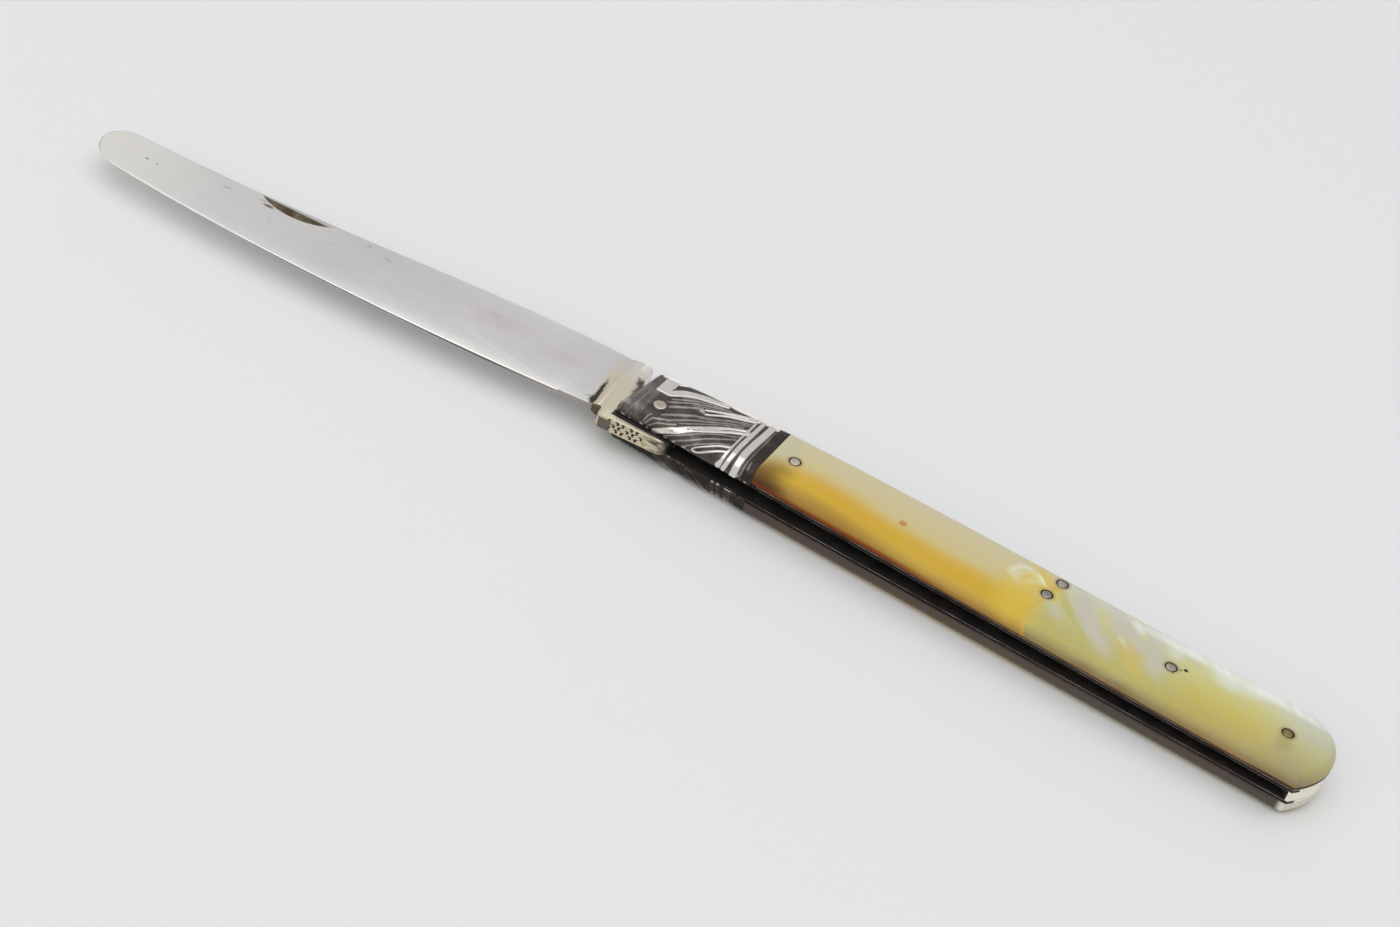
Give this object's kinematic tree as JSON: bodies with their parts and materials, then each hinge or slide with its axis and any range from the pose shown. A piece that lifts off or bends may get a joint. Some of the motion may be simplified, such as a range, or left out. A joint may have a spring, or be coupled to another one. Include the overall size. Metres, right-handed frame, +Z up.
{
  "type": "folding pen knife",
  "caption": "Slim folding pen knife lying open: broad round-ended silver blade with a nail nick, fluted silver bolsters, pearl scales and a slip-joint back spring.",
  "frame": {"origin": "middle of the underside of the open knife's box, on the plane that it lies on", "axes": "+X from the blade's tip to the butt, +Y from the belly to the back of the handle, +Z up, from the rear scale to the front scale"},
  "size_m": [0.168, 0.0148, 0.0068],
  "materials": {
    "blade_silver": "worn bright silver, fine scratches along the blade",
    "bolster_silver": "engraved silver, bright ridges and oxidised grooves",
    "liner_silver": "satin, tarnished",
    "spring_steel": "satin, aged",
    "pin_silver": "filed flush, dark round the rim",
    "pearl": "polished mother of pearl, stands in for nacre"
  },
  "bodies": {
    "handle": {"back_spring": "spring_steel", "front_liner": "liner_silver", "rear_liner": "liner_silver", "front_bolster": "bolster_silver", "rear_bolster": "bolster_silver", "front_scale": "pearl", "rear_scale": "pearl", "pivot_pin": "pin_silver", "spring_pin": "pin_silver", "butt_pin": "pin_silver", "front_scale_pin_fore": "pin_silver", "front_scale_pin_mid": "pin_silver", "front_scale_pin_aft": "pin_silver", "rear_scale_pin_fore": "pin_silver", "rear_scale_pin_mid": "pin_silver", "rear_scale_pin_aft": "pin_silver"},
    "blade": {"blade": "blade_silver"}
  },
  "joints": [
    {"name": "blade_pivot", "type": "hinge", "parent": "handle", "child": "blade", "pos_m": [-0.0031, -0.00141, 0.0034], "axis": [0, 0, 1], "range_deg": [0, 178.5], "deforming": ["back_spring"]}
  ]
}
